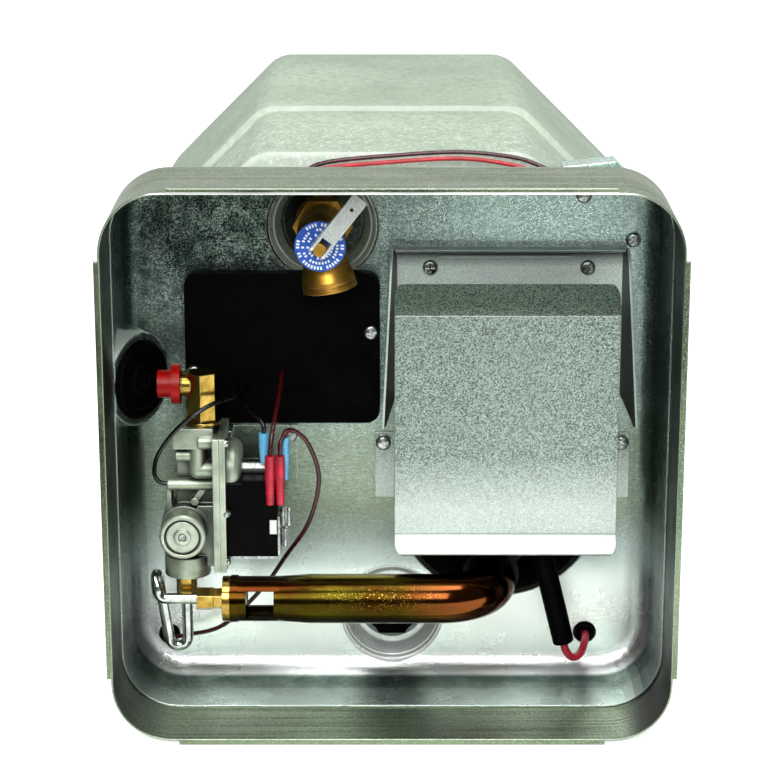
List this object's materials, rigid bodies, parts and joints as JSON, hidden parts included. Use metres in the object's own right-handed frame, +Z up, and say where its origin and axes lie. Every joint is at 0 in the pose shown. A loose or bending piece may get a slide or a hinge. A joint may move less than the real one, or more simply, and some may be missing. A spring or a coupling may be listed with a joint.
{
  "type": "gas water heater",
  "caption": "Square-fronted caravan gas water heater: open control pan with gas valve, burner, flue box and relief valve, and an insulated tank behind.",
  "frame": {"origin": "on the floor under the middle of the heater's box", "axes": "+X to the right seen from the front, +Y to the back along the tank, +Z up"},
  "size_m": [0.322, 0.487, 0.322],
  "materials": {
    "collar_steel": "satin, rolled",
    "galvanised": "spangled zinc",
    "fastener": "bright zinc",
    "foam": "moulded bead foam",
    "insulation": "white pad",
    "tank": "satin",
    "flue": "heat-darkened",
    "flue_sheet": "aluminised, matte",
    "coupling": "machined",
    "anode_steel": "dark plated",
    "brass": "machined, lightly tarnished",
    "tag": "printed sheet",
    "lever": "bright plated",
    "black_rubber": "matte",
    "switch": "plated",
    "button": "gloss",
    "die_cast": "as cast",
    "bright_steel": "bright",
    "coil": "moulded",
    "red_sleeve": "soft gloss",
    "blue_sleeve": "soft gloss",
    "red_cap": "gloss",
    "tube": "drawn, satin",
    "gold_plate": "yellow zinc plate",
    "ceramic": "glazed",
    "red_wire": "soft",
    "maroon_wire": "soft",
    "black_wire": "soft",
    "board": "board"
  },
  "bodies": {
    "heater": {"pan_collar": "collar_steel", "front_pan": "galvanised", "pan_screws": "fastener", "foam_upper": "foam", "foam_lower": "foam", "front_insulation": "insulation", "tank_shell": "tank", "flue_burner_leg": "flue", "flue_exhaust_leg": "flue", "flue_return": "flue", "hot_outlet_coupling": "coupling", "cold_inlet_coupling": "coupling", "anode_rod": "anode_steel", "relief_valve_body": "brass", "relief_tag_disc": "tag", "cover_pad": "black_rubber", "thermostat": "switch", "limit_switch": "switch", "flue_box": "flue_sheet", "flue_deflector": "flue_sheet", "flue_screws": "fastener", "gas_valve_body": "die_cast", "valve_flange": "die_cast", "valve_dome": "die_cast", "coil_stem": "bright_steel", "solenoid_coil": "coil", "coil_frame": "bright_steel", "coil_tabs": "bright_steel", "red_terminals": "red_sleeve", "blue_terminals": "blue_sleeve", "regulator_cap": "die_cast", "valve_bracket": "galvanised", "inlet_elbow": "brass", "inlet_cap": "red_cap", "gas_grommet": "black_rubber", "outlet_fitting": "brass", "gas_tube": "tube", "tube_nut": "brass", "orifice_holder": "brass", "burner_tube": "gold_plate", "electrode": "ceramic", "electrode_bracket": "anode_steel", "electrode_boot": "black_rubber", "spark_wire": "red_wire", "spark_grommet": "black_rubber", "wire_grommet": "black_rubber", "module_cover": "galvanised", "ignition_module": "board", "top_wire_red": "red_wire", "top_wire_black": "black_wire", "wire_loop": "maroon_wire", "thermostat_wire": "maroon_wire", "limit_wire": "black_wire", "ground_wire": "black_wire"},
    "stem": {"relief_stem": "brass", "lever_pin": "fastener"},
    "lever": {"relief_lever": "lever"},
    "shutter": {"air_shutter": "gold_plate"},
    "button": {"reset_button": "button"}
  },
  "joints": [
    {"name": "relief_stem_slide", "type": "slide", "parent": "heater", "child": "stem", "axis": [0, -1, 0], "range_m": [0, 0.003]},
    {"name": "relief_lever_hinge", "type": "hinge", "parent": "stem", "child": "lever", "pos_m": [-0.04, -0.2041, 0.28], "axis": [0.788, 0, -0.6157], "range_deg": [0, 90], "stiffness_Nm_per_rad": 0.02},
    {"name": "air_shutter_turn", "type": "hinge", "parent": "heater", "child": "shutter", "pos_m": [-0.08, -0.1995, 0.072], "axis": [1, 0, 0], "range_deg": [0, 80]},
    {"name": "reset_button_press", "type": "slide", "parent": "heater", "child": "button", "axis": [0, 1, 0], "range_m": [0, 0.0012], "stiffness_N_per_m": 300}
  ],
  "couplings": [
    {"joint": "relief_stem_slide", "follows": "relief_lever_hinge", "m_per_rad": 0.0019}
  ]
}
